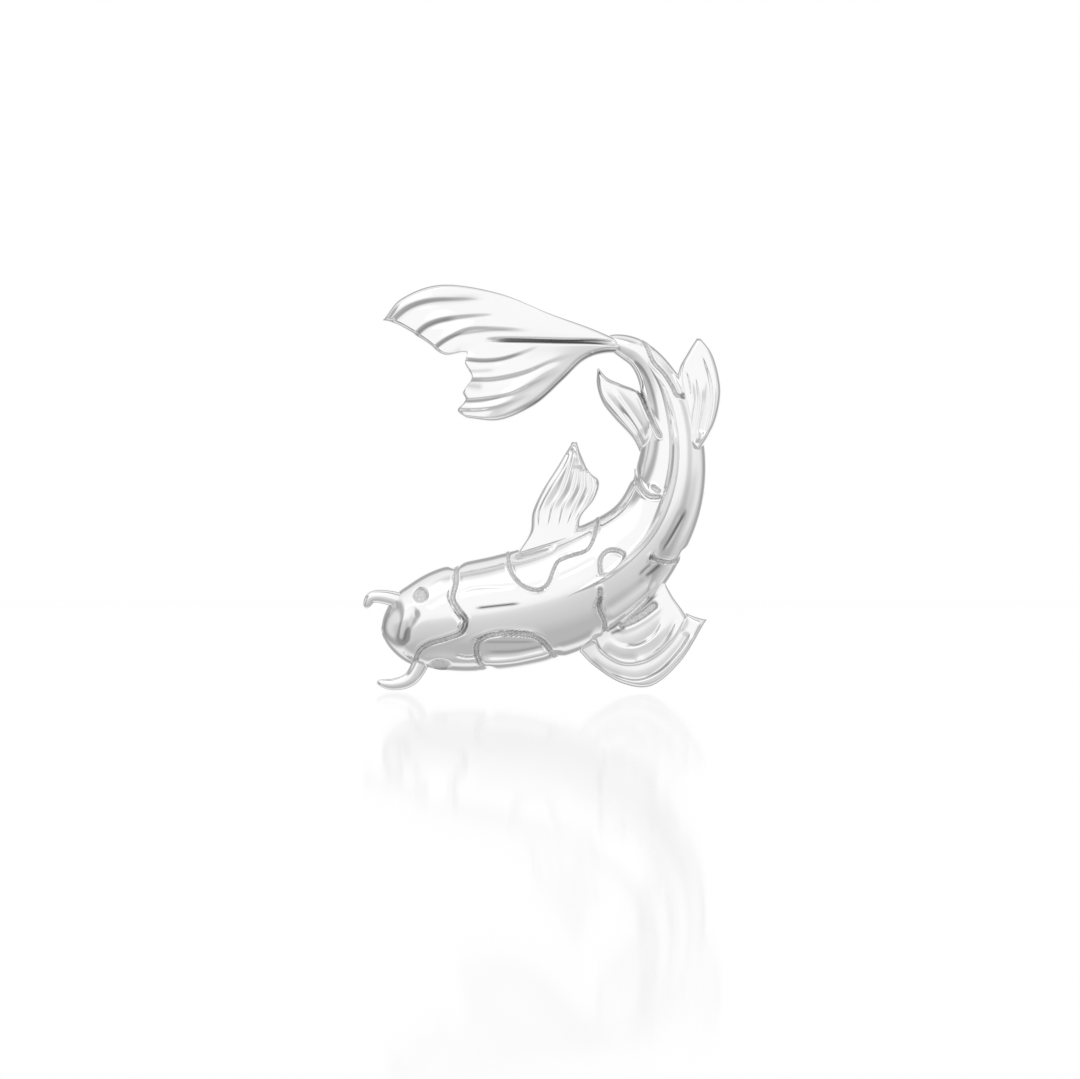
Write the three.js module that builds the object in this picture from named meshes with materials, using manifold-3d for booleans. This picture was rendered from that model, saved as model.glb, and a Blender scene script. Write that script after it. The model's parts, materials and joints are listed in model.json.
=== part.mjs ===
// A koi brooch in polished silver: the fish faces -Y, its flat back is the plane y = 0, +Z is up.
// Behind it a hinged pin stem runs from a bracket at the head to a roller catch near the tail.
// The origin is the middle of the pin line, on the back plane. Millimetres.

import * as THREE from 'three';
import { mergeVertices } from 'three/addons/utils/BufferGeometryUtils.js';
import Module from 'manifold-3d';

const wasm = await Module();
wasm.setup();

// Driving dimensions
const OVERALL_HEIGHT = 38;
const BODY_DEPTH = 5;
const WALL = 1.1;
const RIM_HEIGHT = 0.6;
const FIN_THICKNESS = 1.3;
const DORSAL_HEIGHT = 0.9;
const BARBEL_RADIUS = 0.85;
const SEAM = 0.1;
const PIN_TILT_DEGREES = 28;
const STEM_DIAMETER = 0.8;
const RUNNING_CLEARANCE = 0.05;
const PLATE_THICKNESS = 0.6;
const PLATE_LENGTH = 4;
const HINGE_PLATE_WIDTH = 5;
const PLATE_INSET = 0.5;
const STEM_STANDOFF = 3.2;
const EAR_THICKNESS = 0.6;
const RIVET_HEAD_THICKNESS = 0.3;
const CATCH_LENGTH = 3;
const CATCH_WALL = 0.4;
const ROLLER_WALL = 0.45;
const FLANGE_THICKNESS = 0.4;
const TAB_REACH = 0.8;
const TIP_PAST_CATCH = 2.6;
const RIDGE_HEIGHT = 0.12;
const EYE_WALL = 0.6;
const EYE_THICKENING = 0.1;
const FOOT_THICKNESS = 0.5;
const RIVET_HEAD_LIP = 0.3;
const STEM_POINT_LENGTH = 3;
const STEM_TO_ROLLER = 0.15;
const STEM_TO_SLOT = 0.3;

// Outlines are drawn for a fish of this height and scaled to the height above.
const DRAWN_HEIGHT = 38;
const SCALE = OVERALL_HEIGHT / DRAWN_HEIGHT;
const PIN_SPAN = 25 * SCALE;
const STEM_RADIUS = STEM_DIAMETER / 2;

// How far a cutting shape runs out past the flat back.
const PAST_BACK = 1;

const BODY_STEPS = 44;
const SECTION_STEPS = 11;
const DORSAL_SECTION_STEPS = 5;
const SEAM_STEPS = 5;
const FIN_STEPS = 14;
const FIN_ACROSS_STEPS = 16;
const TAIL_ACROSS_STEPS = 28;
const BARBEL_STEPS = 14;
const ROUND_STEPS = 16;
const WELD_DISTANCE = 1e-5;

const place = ([x, z], y = 0) => new THREE.Vector3(x * SCALE, y, z * SCALE);

// A closed solid through a list of closed rings with equal, even numbers of points.
function loft(rings) {
  const size = rings[0].length;
  const faces = [];
  const quad = (a, b, c, d) => faces.push(a, b, c, a, c, d);
  for (let i = 0; i < rings.length - 1; i += 1) {
    for (let j = 0; j < size; j += 1) {
      const next = (j + 1) % size;
      quad(i * size + j, i * size + next, (i + 1) * size + next, (i + 1) * size + j);
    }
  }
  const last = (rings.length - 1) * size;
  for (let j = 0; j < size / 2 - 1; j += 1) {
    quad(size - 1 - j, size - 2 - j, j + 1, j);
    quad(last + j, last + j + 1, last + size - 2 - j, last + size - 1 - j);
  }
  return facingOut(rings.flat(), faces);
}

// The signed volume tells which way the faces look.
function facingOut(points, faces) {
  let volume = 0;
  for (let i = 0; i < faces.length; i += 3) {
    const [a, b, c] = faces.slice(i, i + 3).map((index) => points[index]);
    volume += a.dot(b.clone().cross(c));
  }
  const index = volume > 0 ? faces : faces.toReversed();
  return new THREE.BufferGeometry().setFromPoints(points).setIndex(index);
}

function solid(geometry) {
  const bare = geometry.clone();
  bare.deleteAttribute('normal');
  bare.deleteAttribute('uv');
  const merged = mergeVertices(bare, WELD_DISTANCE);
  const vertProperties = new Float32Array(merged.attributes.position.array);
  const triVerts = new Uint32Array(merged.index.array);
  return new wasm.Manifold(new wasm.Mesh({ numProp: 3, vertProperties, triVerts }));
}

function geometryOf(manifold) {
  const { vertProperties, triVerts } = manifold.getMesh();
  const geometry = new THREE.BufferGeometry();
  geometry.setAttribute('position', new THREE.BufferAttribute(vertProperties, 3));
  geometry.setIndex(new THREE.BufferAttribute(triVerts, 1));
  geometry.computeVertexNormals();
  return geometry;
}

// Body and dorsal ridge: stations along a spine, each [x, z, half width, height above the back].
function ribAt(stations, u) {
  const centre = new THREE.CatmullRomCurve3(stations.map((row) => place(row)), false, 'catmullrom');
  const size = new THREE.CatmullRomCurve3(
    stations.map(([, , halfWidth, height]) => new THREE.Vector3(halfWidth * SCALE, height, 0)),
    false,
    'catmullrom',
  );
  const { x: halfWidth, y: height } = size.getPoint(u);
  return { centre: centre.getPoint(u), along: centre.getTangent(u), halfWidth, height };
}

// One section: a low upright rim, and a half-ellipse over it.
function ribRing({ centre, along, halfWidth, height }, rim, back, steps = SECTION_STEPS) {
  const side = new THREE.Vector3(-along.z, 0, along.x);
  const at = (offset, y) => centre.clone().addScaledVector(side, offset).setY(y);
  const arc = [];
  for (let i = 0; i <= steps; i += 1) {
    const angle = Math.PI * (i / steps - 0.5);
    arc.push(at(halfWidth * Math.sin(angle), -rim - (height - rim) * Math.cos(angle)));
  }
  return [at(-halfWidth, back), ...arc, at(halfWidth, back)];
}

const CATCH_STATION = [9.8, 6, 3.5, 0.75 * BODY_DEPTH];
const BODY_STATIONS = [
  [-16.8, -7.4, 2.7, 0.62 * BODY_DEPTH],
  [-14, -6.9, 3.8, 0.8 * BODY_DEPTH],
  [-10.5, -6.2, 4.95, 0.95 * BODY_DEPTH],
  [-5, -5.4, 5.4, BODY_DEPTH],
  [0, -4, 5.4, BODY_DEPTH],
  [4.5, -1.5, 5, 0.95 * BODY_DEPTH],
  [8, 2, 4, 0.85 * BODY_DEPTH],
  CATCH_STATION,
  [10.3, 10.5, 2.9, 0.66 * BODY_DEPTH],
  [9.4, 15, 2.1, 0.54 * BODY_DEPTH],
  [7.4, 18.3, 1.4, 0.48 * BODY_DEPTH],
  [4, 20, 1.1, 0.44 * BODY_DEPTH],
];
const SNOUT_LENGTH = 0.09;
const STEM_END_LENGTH = 0.07;
const NOSE_HALF_WIDTH = 0.3;
const LEAST_BLUNTNESS = 0.3;
const RING_CROWDING = 1.4;

// A quarter circle: 0 at an edge, 1 from the radius inwards.
const rounded = (distance, radius) => Math.sqrt(1 - (1 - Math.min(distance / radius, 1)) ** 2);

// The filled body; grow swells it on every side, from and to pick a stretch of the spine.
// The rings crowd together towards the snout, where the outline turns fastest.
function bodyForm({ grow = 0, from = 0, to = 1, back = 0 } = {}) {
  const rings = [];
  for (let i = 0; i <= BODY_STEPS; i += 1) {
    const u = from + (to - from) * (i / BODY_STEPS) ** RING_CROWDING;
    const rib = ribAt(BODY_STATIONS, u);
    const stemEnd = Math.max(rounded(1 - u, STEM_END_LENGTH), LEAST_BLUNTNESS);
    const bluntness = rounded(u, SNOUT_LENGTH) * stemEnd;
    rib.halfWidth = Math.max(rib.halfWidth * bluntness, NOSE_HALF_WIDTH) + grow;
    const heightShare = Math.max(bluntness, LEAST_BLUNTNESS);
    rib.height = RIM_HEIGHT + (rib.height - RIM_HEIGHT) * heightShare + grow;
    const ends = (i === BODY_STEPS ? 1 : 0) - (i === 0 ? 1 : 0);
    rib.centre.addScaledVector(rib.along, ends * Math.max(grow, 0));
    rings.push(ribRing(rib, RIM_HEIGHT, back));
  }
  return solid(loft(rings));
}

const bodyWithSeam = bodyForm({ grow: SEAM, back: PAST_BACK });

// Everything on the head's side of the nape seam; shift moves the seam towards the torso.
const NAPE_SEAM = [
  [-10, 2], [-9.8, -2.5], [-10.1, -4.1], [-8.9, -6.2], [-9.3, -7.3], [-12.3, -8.4],
  [-13.5, -9.6], [-14.2, -13],
];
const SEAM_HEADING = [0.9, -0.44];
const BEYOND_SNOUT = -20;

function headSide(shift) {
  const seam = NAPE_SEAM.map(([x, z]) => new THREE.Vector2(
    x * SCALE + shift * SEAM_HEADING[0],
    z * SCALE + shift * SEAM_HEADING[1],
  ));
  const left = BEYOND_SNOUT * SCALE;
  const shape = new THREE.Shape();
  shape.moveTo(seam[0].x, seam[0].y);
  shape.splineThru(seam.slice(1));
  shape.lineTo(left, seam.at(-1).y);
  shape.lineTo(left, seam[0].y);
  const reach = 2 * BODY_DEPTH;
  const block = new THREE.ExtrudeGeometry(shape, {
    depth: 2 * reach, bevelEnabled: false, curveSegments: SEAM_STEPS,
  });
  return solid(block.rotateX(Math.PI / 2).translate(0, reach, 0));
}

const head = () => bodyForm().intersect(headSide(0));

// The torso is cast hollow from behind, between the nape and the tail stem.
const HOLLOW_FROM = 0.3;
const HOLLOW_TO = 0.8;

function torso() {
  const hollow = bodyForm({ grow: -WALL, from: HOLLOW_FROM, to: HOLLOW_TO, back: PAST_BACK });
  return bodyForm().subtract(hollow).subtract(headSide(SEAM));
}

// Fins and tail: a sheet with a straight root between an upper edge, a lower edge and a far edge,
// each a smooth path. A far edge of one point makes a pointed fin, which ends just short of it.
// The sheet is half as thick at its edges, and sinks into the body before it meets the root.
const POINTED_REACH = 0.97;
const EDGE_SHARE = 0.5;
const EDGE_ROUNDNESS = 0.4;
const SUNK_LENGTH = 0.3;

const smoothPath = (points) => (points.length === 1
  ? { getPoint: () => place(points[0]) }
  : new THREE.CatmullRomCurve3(points.map((point) => place(point)), false, 'catmullrom'));

function fin({
  upper, lower, far, root, tip, ridges, emerge, dome = 0, back = 0, acrossSteps = FIN_ACROSS_STEPS,
}) {
  const [up, down, end] = [upper, lower, far].map(smoothPath);
  const edgeHeight = EDGE_SHARE * tip;
  const reach = far.length === 1 ? POINTED_REACH : 1;
  const rings = [];
  for (let i = 0; i <= FIN_STEPS; i += 1) {
    const along = reach * (i / FIN_STEPS);
    const risen = THREE.MathUtils.smoothstep(along, -SUNK_LENGTH * emerge, emerge);
    const front = [];
    const rear = [];
    for (let j = 0; j <= acrossSteps; j += 1) {
      const across = j / acrossSteps;
      const corners = up.getPoint(1).lerp(down.getPoint(1), across);
      const point = up.getPoint(along).lerp(down.getPoint(along), across)
        .addScaledVector(end.getPoint(across).sub(corners), along);
      const bulge = Math.sin(Math.PI * across);
      const relief = RIDGE_HEIGHT * Math.cos(2 * Math.PI * across * ridges);
      const full = THREE.MathUtils.lerp(root, tip, along) * risen + relief
        + dome * bulge * Math.sin((Math.PI / 2) * along);
      const inFromEdge = Math.max(bulge, 0) ** EDGE_ROUNDNESS;
      const thickness = edgeHeight + Math.max(full - edgeHeight, 0) * inFromEdge;
      front.push(point.clone().setY(back - thickness));
      rear.push(point.clone().setY(back));
    }
    rings.push([...front, ...rear.reverse()]);
  }
  return solid(loft(rings)).subtract(bodyWithSeam);
}

const tailFan = () => fin({
  upper: [[7, 19.1], [3, 20.9], [-1.2, 22.4], [-6, 24.3], [-11.2, 25.05], [-14.9, 23.8], [-16.7, 21.7]],
  lower: [[6.6, 18.6], [4, 18.6], [2, 17.9], [0, 16], [-2.6, 13.7], [-5.8, 12.3], [-9, 12.5]],
  far: [
    [-16.7, 21.7], [-15.2, 21.2], [-12.8, 19.7], [-11, 18.4], [-9, 18.6], [-9.1, 17.6],
    [-8.5, 16.3], [-9.3, 15], [-9.1, 14.2], [-9.8, 13.3], [-9, 12.5],
  ],
  root: 1.9 * FIN_THICKNESS,
  tip: 1.15 * FIN_THICKNESS,
  emerge: 0.1,
  dome: 0.7 * FIN_THICKNESS,
  ridges: 5,
  acrossSteps: TAIL_ACROSS_STEPS,
});

const innerPectoralFin = () => fin({
  upper: [[-4.4, -0.2], [-3.1, 1.9], [-2.8, 3.9], [-1.8, 6], [-0.5, 8], [1.2, 10.8]],
  lower: [[1.5, 1.6], [1.9, 3.4], [3.1, 5], [3.5, 6.7], [2.4, 7.9], [1.2, 10.8]],
  far: [[1.2, 10.8]],
  root: 1.9 * FIN_THICKNESS,
  tip: FIN_THICKNESS,
  emerge: 0.02,
  ridges: 5,
});

const outerPectoralFinLower = () => fin({
  upper: [[2.4, -7.2], [3.8, -8.4], [6.2, -8.9], [8.6, -8], [10.4, -6.4], [11.6, -5.6]],
  lower: [[1.3, -8.9], [3, -10.6], [5.6, -12.2], [8.4, -12.4], [11.2, -10], [13.5, -6.2]],
  far: [[11.6, -5.6], [12.4, -5.9], [13.5, -6.2]],
  root: FIN_THICKNESS,
  tip: 0.9 * FIN_THICKNESS,
  emerge: 0.02,
  ridges: 2,
});

const outerPectoralFinUpper = () => fin({
  upper: [[4, -6.4], [5.4, -6.3], [7, -5.8], [8.2, -4.9], [9, -3.8], [9.4, -3]],
  lower: [[2.8, -8], [3.6, -9.4], [5.6, -10.5], [8, -10.2], [10.2, -8.5], [11.7, -6]],
  far: [[9.4, -3], [10.6, -4.6], [11.7, -6]],
  root: FIN_THICKNESS,
  tip: 0.9 * FIN_THICKNESS,
  emerge: 0.02,
  ridges: 3,
  back: -(FIN_THICKNESS + RIDGE_HEIGHT + SEAM),
});

const innerPelvicFin = () => fin({
  upper: [[9.4, 10.2], [8.4, 12.9], [7.2, 15], [5.5, 15.8], [4.2, 16.4], [3.3, 17.4]],
  lower: [[7.7, 8.6], [6.4, 10.7], [4.8, 12.5], [3.7, 14], [3.2, 15.7], [3.3, 17.4]],
  far: [[3.3, 17.4]],
  root: 1.9 * FIN_THICKNESS,
  tip: 0.9 * FIN_THICKNESS,
  emerge: 0.2,
  ridges: 3,
});

const outerPelvicFin = () => fin({
  upper: [[11.9, 10.4], [11.5, 12.9], [11, 15], [10.8, 17], [11.6, 18.6], [12.7, 20.3]],
  lower: [[12.7, 9.2], [14.2, 11.8], [14.8, 14.3], [14.7, 16.3], [14, 18.6], [12.7, 20.3]],
  far: [[12.7, 20.3]],
  root: 2.2 * FIN_THICKNESS,
  tip: 1.1 * FIN_THICKNESS,
  emerge: 0.02,
  ridges: 3,
});

// The dorsal fin is a long low ridge standing on the middle of the back.
function dorsalFin() {
  const stations = [
    [0.5, -4, 0.3, BODY_DEPTH + 0.3 * DORSAL_HEIGHT],
    [4.3, -2, 0.7, 0.95 * BODY_DEPTH + DORSAL_HEIGHT],
    [8, 1.5, 0.8, 0.86 * BODY_DEPTH + DORSAL_HEIGHT],
    [9.9, 5.5, 0.8, 0.77 * BODY_DEPTH + DORSAL_HEIGHT],
    [10.5, 10, 0.8, 0.67 * BODY_DEPTH + DORSAL_HEIGHT],
    [9.7, 14.6, 0.6, 0.55 * BODY_DEPTH + DORSAL_HEIGHT],
    [8, 17.6, 0.3, 0.49 * BODY_DEPTH + 0.3 * DORSAL_HEIGHT],
  ];
  const rings = [];
  for (let i = 0; i <= BODY_STEPS; i += 1) {
    rings.push(ribRing(ribAt(stations, i / BODY_STEPS), RIM_HEIGHT, 0, DORSAL_SECTION_STEPS));
  }
  return solid(loft(rings)).subtract(bodyWithSeam);
}

// A barbel is a round whisker, held off the back plane, that thins to a rounded tip.
const BARBEL_LIFT = 1.2;
const BARBEL_TAPER = 0.5;
const BARBEL_TIP_CLOSING = 0.97;
const BARBEL_TIP_POWER = 8;

function barbel(route) {
  const height = BARBEL_LIFT * BARBEL_RADIUS + RIM_HEIGHT;
  const path = new THREE.CatmullRomCurve3(route.map((point) => place(point, -height)));
  const rings = [];
  for (let i = 0; i <= BARBEL_STEPS; i += 1) {
    const u = i / BARBEL_STEPS;
    const tipShare = Math.sqrt(1 - BARBEL_TIP_CLOSING * u ** BARBEL_TIP_POWER);
    const radius = BARBEL_RADIUS * (1 - BARBEL_TAPER * u) * tipShare;
    const along = path.getTangent(u);
    const side = new THREE.Vector3(-along.z, 0, along.x);
    const ring = [];
    for (let j = 0; j < ROUND_STEPS; j += 1) {
      const angle = (2 * Math.PI * j) / ROUND_STEPS;
      const point = path.getPoint(u).addScaledVector(side, radius * Math.cos(angle));
      point.y += radius * Math.sin(angle);
      ring.push(point);
    }
    rings.push(ring);
  }
  return solid(loft(rings)).subtract(bodyWithSeam);
}

const upperBarbel = () => barbel([[-13.6, -5], [-15.9, -4.2], [-17.6, -4.1], [-18.3, -5.1]]);
const lowerBarbel = () => barbel([[-12.8, -9.6], [-14, -11.6], [-15.6, -12.2], [-17.2, -12]]);

// Pin parts are drawn in the pin's own frame: x along the stem, y away from the back.
const EYE_RADIUS = STEM_RADIUS + EYE_WALL;
const RIVET_RADIUS = STEM_RADIUS;
const BORE_RADIUS = RIVET_RADIUS + RUNNING_CLEARANCE;
const EYE_THICKNESS = STEM_DIAMETER + EYE_THICKENING;
const EAR_GAP = EYE_THICKNESS + 2 * RUNNING_CLEARANCE;
const PLATE_TOP = RUNNING_CLEARANCE + PLATE_THICKNESS;
const ROLLER_BORE = STEM_RADIUS + STEM_TO_ROLLER;
const ROLLER_RADIUS = ROLLER_BORE + ROLLER_WALL;
const CATCH_BORE = ROLLER_RADIUS + RUNNING_CLEARANCE;
const CATCH_RADIUS = CATCH_BORE + CATCH_WALL;
const SLOT_WIDTH = STEM_DIAMETER + STEM_TO_SLOT;

const block = (width, height, depth, x, y, z) => new THREE.BoxGeometry(width, height, depth)
  .translate(x, y, z);

// A disc or ring lying across z, centred on the origin.
function disc(radius, bore, thickness) {
  const shape = new THREE.Shape();
  shape.absarc(0, 0, radius, 0, 2 * Math.PI);
  if (bore > 0) {
    const hole = new THREE.Path();
    hole.absarc(0, 0, bore, 0, 2 * Math.PI, true);
    shape.holes.push(hole);
  }
  const options = { depth: thickness, bevelEnabled: false, curveSegments: ROUND_STEPS };
  return new THREE.ExtrudeGeometry(shape, options).translate(0, 0, -thickness / 2);
}

const alongStem = (geometry) => geometry.rotateY(Math.PI / 2);

const plate = (width, length) => solid(
  block(width, PLATE_THICKNESS, length, 0, RUNNING_CLEARANCE + PLATE_THICKNESS / 2, 0),
);

// Two ears on a foot, bored for the rivet.
function hingeBracket() {
  const bottom = PLATE_TOP + RUNNING_CLEARANCE;
  const width = 2 * EYE_RADIUS;
  const span = EAR_GAP + 2 * EAR_THICKNESS;
  const earHeight = STEM_STANDOFF - bottom;
  let bracket = solid(block(width, FOOT_THICKNESS, span, 0, bottom + FOOT_THICKNESS / 2, 0));
  for (const side of [-1, 1]) {
    const z = side * (EAR_GAP + EAR_THICKNESS) / 2;
    const upright = block(width, earHeight, EAR_THICKNESS, 0, bottom + earHeight / 2, z);
    const top = disc(EYE_RADIUS, 0, EAR_THICKNESS).translate(0, STEM_STANDOFF, z);
    bracket = bracket.add(solid(upright)).add(solid(top));
  }
  return bracket.subtract(solid(disc(BORE_RADIUS, 0, 2 * span).translate(0, STEM_STANDOFF, 0)));
}

function hingeRivet() {
  const inside = EAR_GAP / 2 + EAR_THICKNESS + RUNNING_CLEARANCE;
  const outside = inside + RIVET_HEAD_THICKNESS;
  const headRadius = RIVET_RADIUS + RIVET_HEAD_LIP;
  const profile = [
    [0, -outside], [headRadius, -outside], [headRadius, -inside], [RIVET_RADIUS, -inside],
    [RIVET_RADIUS, inside], [headRadius, inside], [headRadius, outside], [0, outside],
  ].map(([r, h]) => new THREE.Vector2(r, h));
  return solid(new THREE.LatheGeometry(profile, 2 * ROUND_STEPS).rotateX(Math.PI / 2));
}

// An eye on the rivet, a round wire, and a point just past the catch.
const POINT_SHOULDER_SHARE = 0.6;
const POINT_SHOULDER_FROM_END = STEM_POINT_LENGTH / 3;
const POINT_END_SHARE = 0.15;

function pinStem() {
  const start = (EYE_RADIUS + BORE_RADIUS) / 2;
  const end = PIN_SPAN + TIP_PAST_CATCH;
  const profile = [
    [0, start], [STEM_RADIUS, start], [STEM_RADIUS, end - STEM_POINT_LENGTH],
    [POINT_SHOULDER_SHARE * STEM_RADIUS, end - POINT_SHOULDER_FROM_END],
    [POINT_END_SHARE * STEM_RADIUS, end], [0, end],
  ].map(([r, h]) => new THREE.Vector2(r, h));
  const wire = new THREE.LatheGeometry(profile, ROUND_STEPS).rotateZ(-Math.PI / 2);
  return solid(disc(EYE_RADIUS, BORE_RADIUS, EYE_THICKNESS)).add(solid(wire));
}

// The way out for the stem, from the pin line away from the back.
function slotCutter(length) {
  const height = 2 * CATCH_RADIUS;
  return block(length, height, SLOT_WIDTH, 0, height / 2, 0);
}

// A C-shaped holder on a foot, its mouth facing away from the back.
function catchBase() {
  const ring = solid(alongStem(disc(CATCH_RADIUS, CATCH_BORE, CATCH_LENGTH)));
  const mouth = solid(slotCutter(2 * CATCH_LENGTH));
  const bottom = PLATE_TOP + RUNNING_CLEARANCE - STEM_STANDOFF;
  const top = -(CATCH_BORE + CATCH_RADIUS) / 2;
  const foot = solid(block(CATCH_LENGTH, top - bottom, CATCH_RADIUS, 0, (top + bottom) / 2, 0));
  return ring.subtract(mouth).add(foot);
}

// A slotted tube that turns in the holder, with a flange at each end and a thumb tab.
function catchRoller() {
  const flangeAt = CATCH_LENGTH / 2 + RUNNING_CLEARANCE + FLANGE_THICKNESS / 2;
  const length = 2 * flangeAt + FLANGE_THICKNESS;
  let roller = solid(alongStem(disc(ROLLER_RADIUS, ROLLER_BORE, length)));
  for (const side of [-1, 1]) {
    const flange = alongStem(disc(CATCH_RADIUS, ROLLER_BORE, FLANGE_THICKNESS));
    roller = roller.add(solid(flange.translate(side * flangeAt, 0, 0)));
  }
  const tabInside = (ROLLER_RADIUS + CATCH_RADIUS) / 2;
  const tabLength = CATCH_RADIUS + TAB_REACH - tabInside;
  const tab = block(FLANGE_THICKNESS, TAB_REACH, tabLength, flangeAt, 0, tabInside + tabLength / 2);
  return roller.add(solid(tab)).subtract(solid(slotCutter(2 * length)));
}

const castSilver = () => new THREE.MeshStandardMaterial({
  color: 0xe8e8ea, roughness: 0.14, metalness: 1,
});
const drawnSilver = () => new THREE.MeshStandardMaterial({
  color: 0xd6d7da, roughness: 0.3, metalness: 1,
});
const steel = () => new THREE.MeshStandardMaterial({
  color: 0xb9bcc0, roughness: 0.35, metalness: 1,
});

function piece(name, manifold, material) {
  const mesh = new THREE.Mesh(geometryOf(manifold), material);
  mesh.name = name;
  return mesh;
}

const brooch = new THREE.Group();
brooch.add(
  piece('head', head(), castSilver()),
  piece('torso', torso(), castSilver()),
  piece('tail_fan', tailFan(), castSilver()),
  piece('dorsal_fin', dorsalFin(), castSilver()),
  piece('inner_pectoral_fin', innerPectoralFin(), castSilver()),
  piece('outer_pectoral_fin_lower', outerPectoralFinLower(), castSilver()),
  piece('outer_pectoral_fin_upper', outerPectoralFinUpper(), castSilver()),
  piece('inner_pelvic_fin', innerPelvicFin(), castSilver()),
  piece('outer_pelvic_fin', outerPelvicFin(), castSilver()),
  piece('upper_barbel', upperBarbel(), castSilver()),
  piece('lower_barbel', lowerBarbel(), castSilver()),
);

// The hinge plate lies over the nape seam; the catch plate bridges the hollow from rim to rim,
// so it is centred on the spine, which runs nearer the middle of the brooch than the pin does there.
const tilt = THREE.MathUtils.degToRad(PIN_TILT_DEGREES);
const CATCH_STATION_HALF_WIDTH = CATCH_STATION[2] * SCALE;
const PIN_PAST_SPINE = 1.3 * SCALE;

function backPlate(name, side, inward, width) {
  const mesh = piece(name, plate(width, PLATE_LENGTH), drawnSilver());
  const reach = (side * PIN_SPAN) / 2;
  mesh.position.set(reach * Math.cos(tilt) - inward, 0, reach * Math.sin(tilt));
  brooch.add(mesh);
}

backPlate('hinge_plate', -1, 0, HINGE_PLATE_WIDTH);
backPlate('catch_plate', 1, PIN_PAST_SPINE, 2 * (CATCH_STATION_HALF_WIDTH - PLATE_INSET));

// Turning about Y by a negative angle lifts the catch end.
const pin = new THREE.Group();
pin.rotation.y = -tilt;
brooch.add(pin);

function pinPiece(name, manifold, material, x, y) {
  const mesh = piece(name, manifold, material);
  mesh.position.set(x, y, 0);
  pin.add(mesh);
}

pinPiece('hinge_bracket', hingeBracket(), drawnSilver(), -PIN_SPAN / 2, 0);
pinPiece('hinge_rivet', hingeRivet(), steel(), -PIN_SPAN / 2, STEM_STANDOFF);
pinPiece('pin_stem', pinStem(), steel(), -PIN_SPAN / 2, STEM_STANDOFF);
pinPiece('catch_base', catchBase(), drawnSilver(), PIN_SPAN / 2, STEM_STANDOFF);
pinPiece('catch_roller', catchRoller(), drawnSilver(), PIN_SPAN / 2, STEM_STANDOFF);

export default brooch;
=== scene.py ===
"""A koi brooch in polished silver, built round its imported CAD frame.

The fish faces -Y with its flat back to the wearer. Outlines are drawn in the XZ plane in a unit of a
25th of the pin, from its hinge to its catch, and start at the pin's middle on the back plane.
in_frame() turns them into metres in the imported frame. Every part of the casting but the barbels is a
sheet: a finely gridded front that carries the relief, a plainer back, and upright walls between them.
"""

import json
import math

import bpy
import numpy as np
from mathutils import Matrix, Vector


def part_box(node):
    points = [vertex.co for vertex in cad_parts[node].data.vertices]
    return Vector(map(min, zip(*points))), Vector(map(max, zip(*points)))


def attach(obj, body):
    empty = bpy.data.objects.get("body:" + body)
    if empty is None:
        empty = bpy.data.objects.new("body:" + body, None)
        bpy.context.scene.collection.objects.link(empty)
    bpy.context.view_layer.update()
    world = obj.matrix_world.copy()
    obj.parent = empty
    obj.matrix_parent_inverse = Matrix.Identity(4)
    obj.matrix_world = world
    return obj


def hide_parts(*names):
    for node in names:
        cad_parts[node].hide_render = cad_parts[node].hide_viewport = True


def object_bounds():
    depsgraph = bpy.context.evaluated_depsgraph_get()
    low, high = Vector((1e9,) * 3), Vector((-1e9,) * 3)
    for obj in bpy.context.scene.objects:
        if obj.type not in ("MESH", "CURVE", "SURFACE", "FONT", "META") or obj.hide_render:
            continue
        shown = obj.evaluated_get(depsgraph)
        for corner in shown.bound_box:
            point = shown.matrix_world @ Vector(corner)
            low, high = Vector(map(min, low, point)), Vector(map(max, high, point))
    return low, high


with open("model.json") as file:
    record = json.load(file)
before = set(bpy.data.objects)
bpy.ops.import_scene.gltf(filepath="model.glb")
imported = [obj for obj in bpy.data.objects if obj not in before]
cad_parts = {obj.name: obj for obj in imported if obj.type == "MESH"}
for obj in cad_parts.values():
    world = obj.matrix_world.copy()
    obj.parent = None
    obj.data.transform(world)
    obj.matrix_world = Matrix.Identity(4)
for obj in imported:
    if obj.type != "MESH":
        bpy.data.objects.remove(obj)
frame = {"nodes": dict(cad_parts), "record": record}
cad_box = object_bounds()

# The drawing's unit and origin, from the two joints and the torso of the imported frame.
PIN_SPAN = 25
HINGE, CATCH = (np.array(joint["pos_m"]) for joint in frame["record"]["behaviour"]["joints"])
UNIT = float(np.linalg.norm(CATCH - HINGE)) / PIN_SPAN
TORSO_LOW, TORSO_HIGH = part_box("torso")
ORIGIN = (HINGE + CATCH) / 2
ORIGIN[1] = TORSO_HIGH[1]
BODY_DEPTH = (TORSO_HIGH[1] - TORSO_LOW[1]) / UNIT

# Thickness of the body at its outline, and of its wall over the hollow.
RIM = 0.6
WALL = 1.1
# How many cells of a fine front grid one cell of its back covers.
STRIDE = 3


# ---------------------------------------------------------------- curves

def through(knots, t):
    """A smooth curve through the knots, evenly spaced in t from 0 to 1."""
    knots = np.asarray(knots, float)
    before = 2 * knots[0] - knots[1]
    after = 2 * knots[-1] - knots[-2]
    padded = np.concatenate([[before], knots, [after]])
    place = np.clip(t, 0, 1) * (len(knots) - 1)
    span = np.minimum(place.astype(int), len(knots) - 2)
    f = (place - span).reshape((-1,) + (1,) * (knots.ndim - 1))
    p0, p1, p2, p3 = (padded[span + i] for i in range(4))
    return 0.5 * (
        2 * p1 + (p2 - p0) * f + (2 * p0 - 5 * p1 + 4 * p2 - p3) * f**2
        + (3 * p1 - p0 - 3 * p2 + p3) * f**3
    )


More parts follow.
